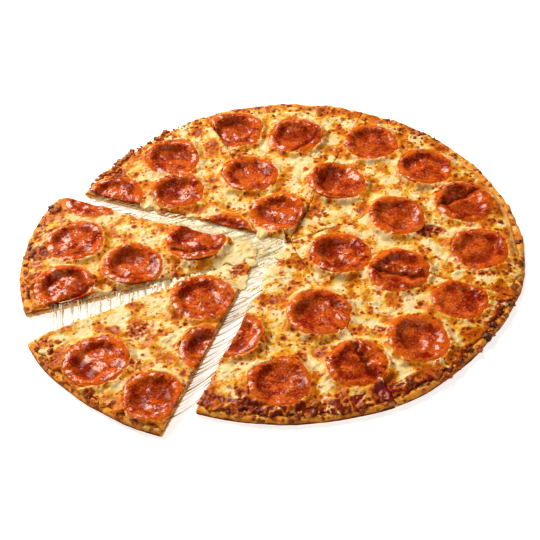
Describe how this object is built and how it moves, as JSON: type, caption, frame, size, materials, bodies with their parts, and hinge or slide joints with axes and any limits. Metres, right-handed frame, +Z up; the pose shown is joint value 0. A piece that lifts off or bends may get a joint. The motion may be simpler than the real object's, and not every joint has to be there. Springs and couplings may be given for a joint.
{
  "type": "pepperoni pizza",
  "caption": "Round thin-crust pizza with melted cheese and cupped pepperoni discs, cut into wedges, two of them drawn out and still joined by stretched cheese",
  "frame": {"origin": "bottom centre of the outline, on the surface that the pizza lies on", "axes": "+Z up through the thickness; the near side of the pizza faces -Y, and the two drawn slices lie towards -X and -Y"},
  "size_m": [0.3762, 0.3574, 0.0139],
  "materials": {
    "baked_dough": "dry baked bread crust, golden with browned spots",
    "melted_cheese": "melted cheese, cream to golden, with toasted blisters and a thin film of oil",
    "pepperoni": "cured sausage slice, red-brown, oily, marbled with fat"
  },
  "bodies": {
    "root": {"cheese_slice_1": "melted_cheese", "cheese_slice_2": "melted_cheese", "cheese_slice_3": "melted_cheese", "cheese_slice_4": "melted_cheese", "cheese_slice_5": "melted_cheese", "cheese_slice_6": "melted_cheese", "cheese_slice_7": "melted_cheese", "cheese_slice_8": "melted_cheese", "crust_slice_1": "baked_dough", "crust_slice_2": "baked_dough", "crust_slice_3": "baked_dough", "crust_slice_4": "baked_dough", "crust_slice_5": "baked_dough", "crust_slice_6": "baked_dough", "crust_slice_7": "baked_dough", "crust_slice_8": "baked_dough", "pepperoni_01_on_slice_2": "pepperoni", "pepperoni_02_on_slice_2": "pepperoni", "pepperoni_03_on_slice_1": "pepperoni", "pepperoni_04_on_slice_1": "pepperoni", "pepperoni_05_on_slice_1": "pepperoni", "pepperoni_05_on_slice_8": "pepperoni", "pepperoni_06_on_slice_8": "pepperoni", "pepperoni_07_on_slice_7": "pepperoni", "pepperoni_08_on_slice_7": "pepperoni", "pepperoni_09_on_slice_6": "pepperoni", "pepperoni_09_on_slice_7": "pepperoni", "pepperoni_10_on_slice_6": "pepperoni", "pepperoni_11_on_slice_5": "pepperoni", "pepperoni_12_on_slice_5": "pepperoni", "pepperoni_13_on_slice_4": "pepperoni", "pepperoni_14_on_slice_4": "pepperoni", "pepperoni_15_on_slice_4": "pepperoni", "pepperoni_16_on_slice_3": "pepperoni", "pepperoni_17_on_slice_3": "pepperoni", "pepperoni_18_on_slice_3": "pepperoni", "pepperoni_19_on_slice_2": "pepperoni", "pepperoni_19_on_slice_3": "pepperoni", "pepperoni_20_on_slice_1": "pepperoni", "pepperoni_20_on_slice_2": "pepperoni", "pepperoni_21_on_slice_1": "pepperoni", "pepperoni_21_on_slice_8": "pepperoni", "pepperoni_22_on_slice_7": "pepperoni", "pepperoni_22_on_slice_8": "pepperoni", "pepperoni_23_on_slice_6": "pepperoni", "pepperoni_23_on_slice_7": "pepperoni", "pepperoni_24_on_slice_6": "pepperoni", "pepperoni_25_on_slice_5": "pepperoni", "pepperoni_26_on_slice_5": "pepperoni", "pepperoni_27_on_slice_4": "pepperoni", "pepperoni_28_on_slice_4": "pepperoni", "pepperoni_29_on_slice_3": "pepperoni", "pepperoni_30_on_slice_2": "pepperoni", "pepperoni_30_on_slice_3": "pepperoni", "pepperoni_31_on_slice_7": "pepperoni", "pepperoni_31_on_slice_8": "pepperoni"}
  },
  "joints": []
}
